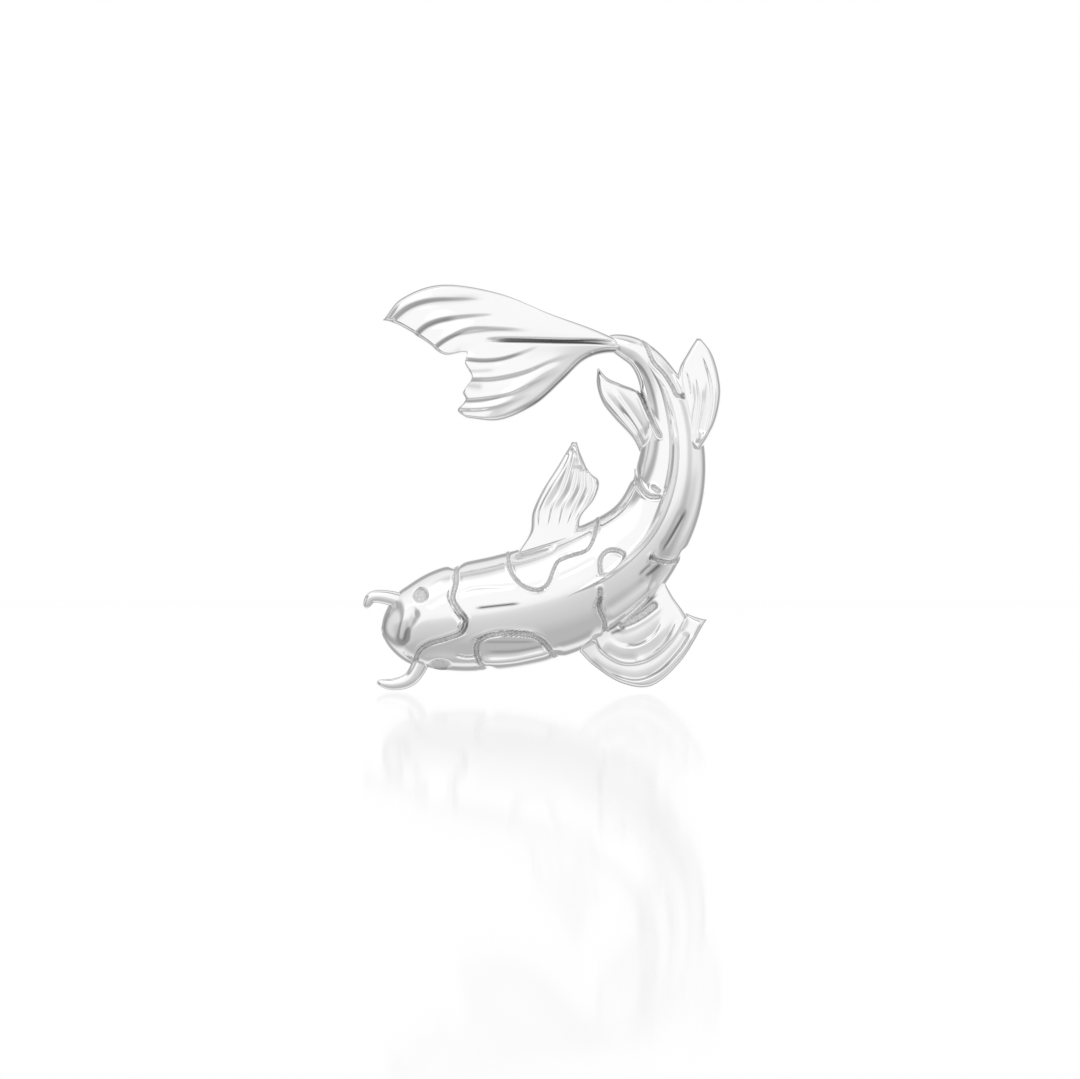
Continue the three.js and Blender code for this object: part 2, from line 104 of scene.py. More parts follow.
def path_length(knots):
    """Length of the smooth curve through the knots."""
    line = through(knots, np.linspace(0, 1, 40))
    return float(np.hypot(*np.diff(line, axis=0).T).sum())


def rounded(distance, radius):
    """A quarter circle: 0 at an edge, 1 from the radius inwards."""
    return np.sqrt(1 - (1 - np.clip(distance / radius, 0, 1)) ** 2)


def sheet_between(upper, lower, far, s, t):
    """Plan points of a sheet whose root is straight and whose other three edges are smooth paths.
    The far edge's shape fades out towards the root, so that the narrow root never folds over."""
    up, low = through(upper, s)[:, None, :], through(lower, s)[:, None, :]
    tip = through(far, t)[None, :, :] if len(far) > 1 else np.asarray(far, float)[None]
    s, t = s[:, None, None], t[None, :, None]
    corners = (1 - t) * np.asarray(upper[-1]) + t * np.asarray(lower[-1])
    return (1 - t) * up + t * low + s ** 2 * (tip - corners)


def smooth(low, high, value):
    """Rises from 0 at low to 1 at high, level at both ends."""
    f = np.clip((value - low) / (high - low), 0, 1)
    return f * f * (3 - 2 * f)


def bell(value, width):
    """1 at zero, falling away on both sides."""
    return np.exp(-((value / width) ** 2))


def distance_to(path, x, z, samples=60):
    """Distance in the plane from each point to a smooth path, above zero on its left, and how far
    along the path the nearest place is."""
    line = through(path, np.linspace(0, 1, samples))
    best = np.full(x.shape, np.inf)
    along = np.zeros(x.shape)
    for i in range(samples - 1):
        ax, az = line[i]
        dx, dz = line[i + 1] - line[i]
        f = np.clip(((x - ax) * dx + (z - az) * dz) / (dx * dx + dz * dz + 1e-12), 0, 1)
        gap = np.hypot(x - ax - f * dx, z - az - f * dz)
        gap = np.where(dx * (z - az) > dz * (x - ax), gap, -gap)
        nearer = np.abs(gap) < np.abs(best)
        best = np.where(nearer, gap, best)
        along = np.where(nearer, (i + f) / (samples - 1), along)
    return best, along


# ---------------------------------------------------------------- relief

def channel(x, z, path, width=0.45, depth=0.3):
    """An engraved channel with a flat floor and rolled shoulders. Returns relief and floor mask."""
    gap = np.abs(distance_to(path, x, z)[0])
    half = width / 2
    floor = 1 - smooth(0.55 * half, 1.25 * half, gap)
    shoulder = 0.04 * bell(gap - 1.7 * half, 0.6 * half)
    return shoulder - depth * floor, floor


def fading(along):
    """1 along the middle of a path, falling to 0 at both ends."""
    return smooth(0, 0.2, along) * (1 - smooth(0.8, 1, along))


def crease(x, z, path, width, height):
    """A soft line, raised or sunk, fading out at both ends."""
    gap, along = distance_to(path, x, z)
    return height * bell(gap, width) * fading(along)


# Half the width of the wall between the high and the low side of a fold.
STEP_HALF_WIDTH = 0.2


def step(x, z, path, gentle, height, fade=0.95):
    """A fold: raised on the left of the path and sunk on its right, and deepest near the far end."""
    gap, along = distance_to(path, x, z)
    growth = smooth(0, 0.65, along) * (1 - smooth(fade, 1, along))
    return height * np.tanh(gap / STEP_HALF_WIDTH) * np.exp(-np.abs(gap) / gentle) * growth


def dish(x, z, centre, radii, depth):
    """A round or oval hollow, such as an eye. Returns relief and floor mask."""
    reach = np.hypot((x - centre[0]) / radii[0], (z - centre[1]) / radii[1])
    floor = 1 - smooth(0.6, 1.05, reach)
    return -depth * floor, floor


# ---------------------------------------------------------------- meshes

def in_frame(points):
    """Drawing points [x, y, z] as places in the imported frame, in metres."""
    return (points * UNIT + ORIGIN).tolist()


def walls_and_faces(n, m, first_back):
    """Faces of a fine front grid, a coarse back grid, and one wall face per coarse edge."""
    front = np.arange(n * m).reshape(n, m)
    rows, columns = (n - 1) // STRIDE + 1, (m - 1) // STRIDE + 1
    back = first_back + np.arange(rows * columns).reshape(rows, columns)
    faces = []
    for grid, flip in ((front, False), (back, True)):
        a, b, c, d = grid[:-1, :-1], grid[1:, :-1], grid[1:, 1:], grid[:-1, 1:]
        quads = np.stack([a, b, c, d], -1).reshape(-1, 4)
        faces += (quads[:, ::-1] if flip else quads).tolist()
    edges = ((front[:, 0], back[:, 0], True), (front[:, -1], back[:, -1], False),
             (front[0], back[0], False), (front[-1], back[-1], True))
    for fine, coarse, flip in edges:
        for i in range(len(coarse) - 1):
            run = fine[i * STRIDE:(i + 1) * STRIDE + 1].tolist()
            wall = run + [int(coarse[i + 1]), int(coarse[i])]
            faces.append(wall[::-1] if flip else wall)
    return faces


def build_sheet(name, x, z, height, back, mask, painted_shade, material):
    """A closed piece: height and back are how far its two faces stand out of the back plane."""
    n, m = x.shape
    front = np.stack([x, -height, z], -1).reshape(-1, 3)
    coarse = (slice(None, None, STRIDE), slice(None, None, STRIDE))
    rear = np.stack([x[coarse], -back[coarse], z[coarse]], -1).reshape(-1, 3)
    mesh = bpy.data.meshes.new(name)
    mesh.from_pydata(in_frame(np.concatenate([front, rear])), [], walls_and_faces(n, m, n * m))
    # The engraved mask and the painted shade go on the front; the back gets none.
    for attribute, front_values in (("engraved", mask), ("painted_shade", painted_shade)):
        values = np.concatenate([front_values.ravel(), np.zeros(len(rear))]).astype(np.float32)
        mesh.attributes.new(attribute, "FLOAT", "POINT").data.foreach_set("value", values)
    return finish_mesh(name, mesh, material)


def finish_mesh(name, mesh, material):
    """Turns the faces outwards, smooths all but the sharp edges, and adds the piece to the scene."""
    mesh.update()
    if outward_volume(mesh) < 0:
        mesh.flip_normals()
    mesh.materials.append(material)
    mesh.shade_smooth()
    mesh.set_sharp_from_angle(angle=math.radians(50))
    piece = bpy.data.objects.new(name, mesh)
    bpy.context.scene.collection.objects.link(piece)
    return piece


def outward_volume(mesh):
    """Six times the volume of a closed mesh, below zero if its faces point inwards."""
    mesh.calc_loop_triangles()
    points = np.empty(len(mesh.vertices) * 3)
    mesh.vertices.foreach_get("co", points)
    corners = np.empty(len(mesh.loop_triangles) * 3, int)
    mesh.loop_triangles.foreach_get("vertices", corners)
    a, b, c = points.reshape(-1, 3)[corners.reshape(-1, 3)].transpose(1, 0, 2)
    return float(np.einsum("ij,ij->i", a, np.cross(b, c)).sum())


def grid_size(count):
    """The nearest grid size that the coarse back divides."""
    return count // STRIDE * STRIDE + 1


# ---------------------------------------------------------------- materials

class Nodes:
    """A short way to write a node tree."""

    def __init__(self, tree):
        self.tree = tree
        tree.nodes.clear()

    def add(self, kind, inputs=None, **settings):
        node = self.tree.nodes.new(kind)
        for key, value in settings.items():
            setattr(node, key, value)
        for key, value in (inputs or {}).items():
            if isinstance(value, bpy.types.NodeSocket):
                self.tree.links.new(value, node.inputs[key])
            else:
                node.inputs[key].default_value = value
        return node

    def ramp(self, value, stops):
        node = self.add("ShaderNodeValToRGB", {"Fac": value})
        elements = node.color_ramp.elements
        while len(elements) < len(stops):
            elements.new(0.5)
        for element, (place, level) in zip(elements, stops):
            element.position = place
            element.color = (level, level, level, 1)
        return node.outputs["Color"]

    def noise(self, where, scale, detail):
        inputs = {"Vector": where, "Scale": scale, "Detail": detail}
        return self.add("ShaderNodeTexNoise", inputs).outputs["Fac"]

    def math(self, operation, a, b):
        return self.add("ShaderNodeMath", {0: a, 1: b}, operation=operation).outputs[0]


def new_material(name):
    """An empty material, and its nodes."""
    material = bpy.data.materials.new(name)
    material.use_nodes = True
    return material, Nodes(material.node_tree)


# The colour of the painted shade, mixed in along the creases and folds given as shades.
PAINTED_SHADE_BLACK = (0.08, 0.08, 0.08, 1)
ENGRAVED_ROUGHNESS = 0.48


def silver(name, tone, polish, engraved_tone):
    """Polished cast silver: faint wheel marks all over, a matte stippled floor in the channels, and painted
    shade that darkens the colour towards black along the creases and folds given as shades."""
    material, nodes = new_material(name)
    where = nodes.add("ShaderNodeTexCoord").outputs["Object"]
    mask = nodes.add("ShaderNodeAttribute", attribute_name="engraved").outputs["Fac"]
    cloud = nodes.noise(where, 350.0, 4.0)
    stipple = nodes.noise(where, 5500.0, 3.0)
    marks_map = nodes.add("ShaderNodeMapping", {"Vector": where, "Scale": (900, 900, 9000)}).outputs[0]
    marks = nodes.noise(marks_map, 1.0, 2.0)
    polished = nodes.add("ShaderNodeMapRange", {0: cloud, 1: 0.3, 2: 0.7, 3: polish, 4: polish + 0.06})
    roughness = nodes.add(
        "ShaderNodeMix", {0: mask, 2: polished.outputs[0], 3: ENGRAVED_ROUGHNESS},
        data_type="FLOAT").outputs[0]
    bright = nodes.ramp(cloud, [(0.3, tone - 0.015), (0.7, tone)])
    dull = nodes.ramp(stipple, [(0.35, engraved_tone - 0.16), (0.65, engraved_tone)])
    unshaded_colour = nodes.add("ShaderNodeMix", {0: mask, 6: bright, 7: dull}, data_type="RGBA").outputs[2]
    # Painted shade: the colour darkens towards black wherever the painted-shade attribute is set.
    painted_shade = nodes.add("ShaderNodeAttribute", attribute_name="painted_shade").outputs["Fac"]
    colour = nodes.add("ShaderNodeMix", {0: painted_shade, 6: unshaded_colour, 7: PAINTED_SHADE_BLACK}, data_type="RGBA").outputs[2]
    fine = nodes.add("ShaderNodeBump", {"Strength": 0.02, "Distance": 0.00002, "Height": marks})
    grain_strength = nodes.math("MULTIPLY", mask, 0.75)
    grain = nodes.add("ShaderNodeBump", {
        "Strength": grain_strength, "Distance": 0.00008, "Height": stipple, "Normal": fine.outputs[0],
    })
    shader = nodes.add("ShaderNodeBsdfPrincipled", {
        "Base Color": colour, "Metallic": 1.0, "Roughness": roughness, "Normal": grain.outputs[0],
    })
    nodes.add("ShaderNodeOutputMaterial", {"Surface": shader.outputs[0]})
    return material


def drawn_metal(name, tone, roughness, grain_scale):
    """Satin metal with fine lines, for the findings and the pin wire."""
    material, nodes = new_material(name)
    where = nodes.add("ShaderNodeTexCoord").outputs["Object"]
    stretched = nodes.add("ShaderNodeMapping", {"Vector": where, "Scale": grain_scale}).outputs[0]
    lines = nodes.noise(stretched, 1.0, 3.0)
    colour = nodes.ramp(lines, [(0.3, tone - 0.05), (0.7, tone)])
    rough = nodes.add(
        "ShaderNodeMapRange", {0: lines, 1: 0.3, 2: 0.7, 3: roughness, 4: roughness + 0.12})
    bump = nodes.add("ShaderNodeBump", {"Strength": 0.15, "Distance": 0.00003, "Height": lines})
    shader = nodes.add("ShaderNodeBsdfPrincipled", {
        "Base Color": colour, "Metallic": 1.0, "Roughness": rough.outputs[0], "Normal": bump.outputs[0],
    })
    nodes.add("ShaderNodeOutputMaterial", {"Surface": shader.outputs[0]})
    return material


CAST_SILVER = silver("cast_silver", tone=0.95, polish=0.08, engraved_tone=0.82)
FINDINGS = drawn_metal("satin_findings", 0.86, 0.22, (3000, 3000, 12000))
PIN_WIRE = drawn_metal("pin_wire", 0.74, 0.18, (800, 9000, 9000))


# ---------------------------------------------------------------- head and torso

# Stations along the spine: x, z, half width, height above the back.
BODY = [
    (-16.8, -7.4, 2.7, 0.62 * BODY_DEPTH), (-14, -6.9, 3.8, 0.8 * BODY_DEPTH),
    (-10.5, -6.2, 4.95, 0.95 * BODY_DEPTH), (-5, -5.4, 5.4, BODY_DEPTH), (0, -4, 5.4, BODY_DEPTH),
    (4.5, -1.5, 5, 0.95 * BODY_DEPTH), (8, 2, 4, 0.85 * BODY_DEPTH),
    (9.8, 6, 3.5, 0.75 * BODY_DEPTH), (10.3, 10.5, 2.9, 0.66 * BODY_DEPTH),
    (9.4, 15, 2.1, 0.54 * BODY_DEPTH), (7.4, 18.3, 1.4, 0.48 * BODY_DEPTH),
    (4, 20, 1.1, 0.44 * BODY_DEPTH),
]
# Shares of the spine over which the two ends round off.
SNOUT_LENGTH = 0.09
STEM_END_LENGTH = 0.07
NAPE = [(-9.9, 0), (-9.8, -2.5), (-10.1, -4.1), (-9.6, -5.2), (-8.9, -6.2), (-9.3, -7.3),
        (-10.7, -7.9), (-12.3, -8.4), (-13.3, -9.2), (-13.9, -11)]

# Engraved channels: path, width, depth.
CHANNELS = {
    "nape": (NAPE, 0.42, 0.34),
    "shoulder_patch": (
        [(-5.1, 0.6), (-4.8, -1.5), (-3.9, -2.8), (-2.5, -3.4), (-1.4, -2.9), (-0.8, -1.5),
         (-0.3, -0.7), (0.9, -0.2), (2.3, 0.3), (3, 1.6), (3.3, 3.2)], 0.3, 0.24),
    "crescent": ([(3.5, -1.8), (3.5, -0.6), (4.2, 0.2), (5.2, 0.2), (6, -0.3)], 0.38, 0.26),
    "lower_flank": ([(3.5, -3.4), (3.4, -5), (3.9, -6.3), (4, -7.7)], 0.4, 0.3),
    "upper_flank": ([(8.2, -0.4), (9.6, -0.8), (10.6, -0.7), (11.6, 0)], 0.36, 0.3),
    "inner_side": ([(6.6, 7.6), (7.2, 6.2), (8, 5.3), (8.9, 5.2)], 0.4, 0.26),
    "gill": (
        [(-6.9, -11.3), (-7.7, -9.9), (-7.9, -8.5), (-7.1, -7.7), (-5.4, -7.4), (-3.2, -7.5),
         (-2.1, -7.9), (-1.3, -8.7), (-0.5, -9.8)], 0.46, 0.34),
    "tail_stem": (
        [(7.5, 20), (8, 18.9), (8.5, 17.7), (9.5, 16.6), (10.2, 15.5), (10.7, 14.6), (11.6, 14.6)],
        0.36, 0.22),
    "pelvic_root": ([(7, 15.3), (7.5, 14.2), (8, 12.9), (8.5, 11.8), (9, 10.9)], 0.42, 0.24),
    "back_mark": ([(8.4, 6.1), (8.9, 5.7)], 0.4, 0.16),
}
# Shallow hollows with a matte floor: centre, radii, depth.
DISHES = {
    "eye": ((-13.1, -3.9), (0.76, 0.76), 0.36),
    "far_eye": ((-11.3, -10.3), (1.1, 0.6), 0.3),
    "solder_spot": ((11.4, 14.6), (0.5, 0.4), 0.14),
}
# Soft folds: path, width, height (below zero for a valley).
FOLDS = {
    "snout_valley": ([(-14.7, -8.6), (-14.5, -7.2), (-14, -6.2), (-13.3, -5)], 0.5, -0.14),
    "brow": ([(-12.6, -5.1), (-11.2, -4.2), (-10, -3.6)], 0.3, -0.12),
    "cap_valley": ([(-10.5, -4), (-10.2, -5), (-9.6, -5.8), (-9.2, -6.5)], 0.2, -0.26),
    "cap_rim": ([(-10.3, -3), (-10.4, -4.2), (-9.9, -5.3), (-9.3, -6.2), (-9.7, -7.2)], 0.16, 0.2),
    "back_line": ([(-9.5, -3.6), (-8, -3.2), (-6, -3.1), (-4.2, -3)], 0.18, -0.1),
    "shoulder_hollow": ([(-4.8, -0.5), (-3, -0.1), (-0.4, 0.7)], 0.3, -0.28),
    "side_line": ([(-0.8, -2.4), (1.2, -1.5), (3.2, -0.4)], 0.16, -0.08),
    "lower_line": ([(3.6, -5.6), (5.2, -4.5), (7, -3.2), (8.4, -2)], 0.45, -0.14),
    "flank_swell": ([(4, -6.6), (5.6, -5.6), (7.4, -4.2), (9, -2.6)], 0.7, 0.3),
    "gill_lobe": ([(-8.6, -10.3), (-5, -10.2), (-2.8, -9.8), (0, -9.1)], 0.6, 0.8),
    "jaw": ([(-14, -10.4), (-11.5, -10.2), (-9.4, -10.3), (-7.2, -10.3)], 0.8, 0.5),
    "jaw_line": ([(-9.9, -9.4), (-8.7, -9.6), (-7.7, -9.4)], 0.14, -0.24),
    "belly_swell": ([(-0.6, -9), (1.4, -8.6), (3.4, -7.8)], 0.8, 0.3),
    "flank_streak": ([(11.5, 4.2), (10.6, 2.5), (9.8, 1.2), (9, 0.2)], 0.34, -0.1),
}
# Painted shade, darkening the colour towards black along creases and folds: path, width, strength.
SHADES = {
    "crest": ([(-8.2, -5.1), (-6, -4.85), (-3.7, -4.6)], 0.11, 1.0),
    "snout": ([(-14.7, -8.4), (-14.4, -7.1), (-13.6, -5.4)], 0.24, 0.34),
    "gill_ledge": ([(-7.4, -8.2), (-5.4, -8.2), (-2.2, -8.2)], 0.09, 0.4),
    "gill_hollow": ([(-7.4, -9.1), (-5, -9.1), (-3.2, -8.9), (-1.4, -8.5)], 0.14, 0.35),
    "cap": ([(-9.6, -5.5), (-8.8, -6.5), (-9.4, -7.6)], 0.13, 0.6),
    "flank_outer": ([(9.2, -0.9), (8.4, -1.6), (7.6, -2.2)], 0.16, 0.75),
    "flank_inner": ([(8.3, -0.9), (7.7, -1.4), (7, -2.1)], 0.13, 0.65),
    "shoulder": ([(-4.9, -0.5), (-3, -0.2), (-0.6, 0.6)], 0.16, 0.3),
    "side": ([(11.6, 4.2), (10.7, 2.6), (9.9, 1.2), (9.1, 0)], 0.13, 0.85),
    "jaw": ([(-10, -9.4), (-8.8, -9.6), (-7.8, -9.5)], 0.1, 0.3),
    "far_eye": ([(-12, -10.7), (-11.3, -10.8), (-10.4, -10.6)], 0.12, 0.6),
    "belly": ([(-0.9, -8.6), (1.2, -8), (3.2, -7)], 0.2, 0.16),
}
# Where a channel runs over the edge of the body it nips the outline: x, z, depth.
NIPS = [(-6.9, -11, 0.4), (-0.6, -9.5, 0.5), (-9.9, -0.9, 0.4), (11.5, -0.3, 0.4), (6.8, 7.3, 0.3)]
NIP_WIDTH = 0.55
# How closely a nip keeps to the outline: a power of the share across the body.
NIP_CLOSENESS = 6

# How far the rounded ends come down: a share of the full section, and a least half width.
LEAST_BLUNTNESS = 0.3
NOSE_HALF_WIDTH = 0.3

# The hollow: shares across the body, and along the spine, between which its depth comes and goes.
HOLLOW_RIM = (0.68, 0.8)
HOLLOW_START = (0.28, 0.4)
HOLLOW_END = (0.75, 0.8)
# The least height that the relief leaves in front of the back plane.
LEAST_HEIGHT = 0.25
# Cells across the body, along the head and along the torso.
BODY_ACROSS, HEAD_ALONG, TORSO_ALONG = 156, 180, 555


def body_size(u):
    """Half width and middle height of the body at each u, rounded off at the snout and stem end."""
    rows = through(BODY, u)
    blunt = rounded(u, SNOUT_LENGTH) * np.maximum(rounded(1 - u, STEM_END_LENGTH), LEAST_BLUNTNESS)
    half = np.maximum(rows[:, 2] * blunt, NOSE_HALF_WIDTH)
    return half, RIM + (rows[:, 3] - RIM) * np.maximum(blunt, LEAST_BLUNTNESS)


def body_plan(u, across):
    """Plan position and plain height of the body, for each u along it and each sine across it."""
    rows = through(BODY, u)
    half, tall = body_size(u)
    small = 1e-4
    spine = [row[:2] for row in BODY]
    ahead = through(spine, np.minimum(u + small, 1))
    behind = through(spine, np.maximum(u - small, 0))
    heading = ahead - behind
    heading /= np.linalg.norm(heading, axis=1)[:, None]
    x = rows[:, 0] - heading[:, 1] * half * across
    z = rows[:, 1] + heading[:, 0] * half * across
    height = RIM + (tall - RIM) * np.sqrt(np.clip(1 - across**2, 0, 1))
    return x, z, height


# How far below the body's surface the hidden part of another casting ends, inside the wall.
SOCKET_DEPTH = 0.55
# How far inside the body's outline that hidden part starts to rise.
SOCKET_MARGIN = 0.3
# How far the backs of the fins lie in front of the body's back plane.
BACK_INSET = 0.05
# The least thickness of a hidden part.
LEAST_THICKNESS = 0.1


def seated(x, z, height, back):
    """Where a casting runs on inside the body, its back rises into the body's wall, so it shows
    neither on the flat back nor in the hollow. Returns its height and back there."""
    gap, along = distance_to([row[:2] for row in BODY], x, z)
    half, tall = (size.reshape(x.shape) for size in body_size(along.ravel()))
    inside = 1 - (gap / np.maximum(half - SOCKET_MARGIN, SOCKET_MARGIN)) ** 2
    surface = RIM + (tall - RIM) * np.sqrt(np.clip(inside, 0, 1))
    raised = np.where(inside > 0, np.maximum(back, surface - SOCKET_DEPTH), back) + BACK_INSET
    return np.maximum(height, raised + LEAST_THICKNESS), raised


def nape_u(across):
    """How far along the body the nape seam lies, for each place across it."""
    u = np.linspace(0.02, 0.4, 400)
    seam = through(NAPE, np.linspace(0, 1, 400))
    found = []
    for a in across:
        x, z, _ = body_plan(u, np.full_like(u, a))
        gap = np.hypot(x[:, None] - seam[:, 0], z[:, None] - seam[:, 1])
        found.append(u[gap.min(axis=1).argmin()])
    kernel = np.ones(3) / 3
    return np.convolve(np.pad(found, 1, mode="edge"), kernel, mode="valid")


def nip_outline(x, z, across):
    """Draws the rim in towards the middle at each nip."""
    pull = np.zeros_like(x)
    for nx, nz, depth in NIPS:
        pull += depth * bell(np.hypot(x - nx, z - nz), NIP_WIDTH)
    edge = np.abs(across) ** NIP_CLOSENESS
    centre_x, centre_z = x.mean(axis=1, keepdims=True), z.mean(axis=1, keepdims=True)
    reach = np.hypot(x - centre_x, z - centre_z) + 1e-9
    return (x - pull * edge * (x - centre_x) / reach, z - pull * edge * (z - centre_z) / reach)


def engrave(x, z, channels=(), dishes=(), folds=(), steps=(), shades=()):
    """Adds up the relief of all the features, where their floors are matte, and where shade is painted dark
    along the paths given as shades."""
    relief, mask, painted_shade = np.zeros_like(x), np.zeros_like(x), np.zeros_like(x)
    cuts = [channel(x, z, *feature) for feature in channels]
    cuts += [dish(x, z, *feature) for feature in dishes]
    for cut, floor in cuts:
        relief += cut
        mask = np.maximum(mask, floor)
    for feature in folds:
        relief += crease(x, z, *feature)
    for feature in steps:
        relief += step(x, z, *feature)
    # Painted shade: the strongest shade of any listed path at each point.
    for feature in shades:
        painted_shade = np.maximum(painted_shade, crease(x, z, *feature))
    return relief, mask, painted_shade


def body_piece(name, first_u, last_u, across, rows, hollow):
    """A stretch of the body whose ends may follow a curve across it."""
    share = np.linspace(0, 1, grid_size(rows))[:, None]
    u = first_u + (last_u - first_u) * share
    x, z, height = np.empty_like(u), np.empty_like(u), np.empty_like(u)
    for j, a in enumerate(across):
        x[:, j], z[:, j], height[:, j] = body_plan(u[:, j], np.full(len(u), a))
    x, z = nip_outline(x, z, across[None, :])
    relief, mask, painted_shade = engrave(
        x, z, CHANNELS.values(), DISHES.values(), FOLDS.values(), shades=SHADES.values())
    back = np.zeros_like(height)
    if hollow:
        between_rims = (1 - smooth(*HOLLOW_RIM, np.abs(across)))[None, :]
        between_ends = smooth(*HOLLOW_START, u) * (1 - smooth(*HOLLOW_END, u))
        back = np.maximum(height - WALL, 0) * between_rims * between_ends
    height = np.maximum(height + relief, LEAST_HEIGHT)
    return build_sheet(name, x, z, height, back, mask, painted_shade, CAST_SILVER)


def make_body():
    """The head and the torso, which meet along the nape seam."""
    across = np.sin(np.linspace(-math.pi / 2, math.pi / 2, grid_size(BODY_ACROSS)))
    seam = nape_u(across)[None, :]
    start = np.zeros_like(seam) + 1e-3
    end = np.ones_like(seam)
    head = body_piece("koi_head", start, seam, across, HEAD_ALONG, hollow=False)
    torso = body_piece("koi_torso", seam, end, across, TORSO_ALONG, hollow=True)
    return {"head": head, "torso": torso}


# ---------------------------------------------------------------- fins and tail

# A pointed fin ends just short of its point, so its last faces keep a width.
POINTED_REACH = 0.97


def fin_piece(name, upper, lower, far, root, tip, steps=(), folds=(), channels=(), shades=(), back=0.0,
              size=(200, 150), edge=0.5, edge_height=0.45, emerge=0.02, dome=0.0, tilt=0.0):
    """A rounded sheet from its root to its far edge; root and tip are its thicknesses, dome is how
    much more its middle stands out, and tilt how much more its lower edge does than its upper.

    Over the share of its length called emerge it rises from the back to its full thickness. Within
    the distance called edge its front rounds down to edge_height.
    """
    reach = POINTED_REACH if len(far) == 1 else 1
    s = np.linspace(0, reach, grid_size(size[0]))
    t = np.linspace(0, 1, grid_size(size[1]))
    plan = sheet_between(upper, lower, far, s, t)
    x, z = plan[..., 0], plan[..., 1]
    width = np.linalg.norm(plan[:, -1] - plan[:, 0], axis=1)[:, None]
    length = 0.5 * (path_length(upper) + path_length(lower))
    soft = rounded(t[None, :] * width, edge) * rounded((1 - t)[None, :] * width, edge)
    soft = soft * rounded((reach - s)[:, None] * length, edge)
    relief, mask, painted_shade = engrave(x, z, channels=channels, folds=folds, steps=steps, shades=shades)
    thickness = (root + (tip - root) * s[:, None]) * smooth(-0.3 * emerge, emerge, s)[:, None]
    arch = np.sin(math.pi * t)[None, :] * np.sin(0.5 * math.pi * s)[:, None]
    thickness = thickness + relief + dome * arch + tilt * (t[None, :] - 0.5) * s[:, None]
    height = edge_height + np.maximum(thickness - edge_height, 0) * soft
    front, rear = seated(x, z, height + back, np.full_like(height, back))
    return build_sheet(name, x, z, front, rear, mask, painted_shade, CAST_SILVER)


def make_tail():
    return fin_piece(
        "koi_tail_fan",
        upper=[(7, 19.1), (3, 20.9), (-1.2, 22.4), (-6, 24.3), (-11.2, 25.05), (-14.9, 23.8), (-16.7, 21.7)],
        lower=[(6.6, 18.6), (4, 18.6), (2, 17.9), (0, 16), (-2.6, 13.7), (-5.8, 12.3), (-9, 12.5)],
        far=[(-16.7, 21.7), (-15.2, 21.2), (-12.8, 19.7), (-11, 18.4), (-9, 18.6), (-9.1, 17.6),
             (-8.5, 16.3), (-9.3, 15), (-9.1, 14.2), (-9.8, 13.3), (-9, 12.5)],
        root=2.15, tip=1.5, size=(300, 240), emerge=0.1, edge=0.6, dome=0.5, tilt=0.75,
        steps=[
            ([(-5.5, 23.6), (-9.7, 23.6), (-12.2, 23.5), (-14.2, 22.9), (-15.6, 21.8), (-16.6, 20.6)],
             0.7, -0.42),
            ([(-5.6, 22.2), (-7.6, 22.1), (-9.8, 21.9), (-11.8, 21.5), (-13.2, 20.7), (-14.5, 19)],
             0.6, -0.42),
            ([(-2, 20.7), (-6.2, 20.9), (-8.7, 20.8), (-10.5, 20), (-11.8, 19.1), (-12.6, 18)],
             0.5, -0.4),
            ([(-2, 19.3), (-4, 18.5), (-5.8, 18), (-7.6, 17.9), (-9.6, 18.1)], 0.4, -0.36),
            ([(1.6, 18.6), (-1, 17.8), (-3.4, 16.8), (-6, 16.2), (-8, 16.1), (-10, 16.2)], 0.5, -0.42),
            ([(0, 17), (-2.6, 15.8), (-4.8, 14.8), (-6.6, 14.4), (-8.6, 14.2), (-10.6, 14.3)],
             0.45, -0.42),
            ([(-2.6, 14.9), (-5, 13.9), (-7, 13.4), (-8.8, 13.3), (-10.6, 13.5)], 0.4, -0.3),
        ],
        folds=[
            ([(-7.4, 19.8), (-4, 19.75), (0, 19.65), (3.4, 19.6), (6, 19.3)], 0.16, -0.5),
            ([(0, 17.8), (-3, 16), (-5, 14.4), (-7.4, 12.8)], 0.5, 0.15),
        ],
        # Painted shade along the tail's folds and along its lower edge.
        shades=[
            ([(-7.6, 19.75), (-4, 19.7), (0, 19.65), (2.4, 19.55), (4.8, 19.4)], 0.11, 0.9),
            ([(-16.4, 20.9), (-14.9, 22.4), (-13, 23.3), (-10, 23.6), (-7, 23.8)], 0.3, 0.3),
            ([(-14, 19.6), (-13, 20.8), (-11.6, 21.5), (-9.6, 21.9)], 0.22, 0.5),
            ([(-12.2, 18.6), (-11, 19.7), (-9.6, 20.3), (-6.5, 20.7), (-2.6, 20.6)], 0.14, 0.5),
            ([(-9.4, 18), (-7.4, 17.8), (-5.6, 18), (-3.4, 18.7)], 0.14, 0.4),
            ([(-9.6, 16), (-8.6, 15.6), (-7.2, 15.4)], 0.3, 0.3),
            ([(-9.8, 17.1), (-8.4, 16.9), (-6, 17)], 0.16, 0.25),
            ([(-9.8, 14), (-7.4, 14.1), (-5.4, 14.6)], 0.14, 0.3),
            ([(7, 18.3), (4.4, 18.75), (2.4, 18.2), (0.6, 16.7), (-2.2, 14.2), (-5.6, 12.6)], 0.2, 0.75),
        ],
    )


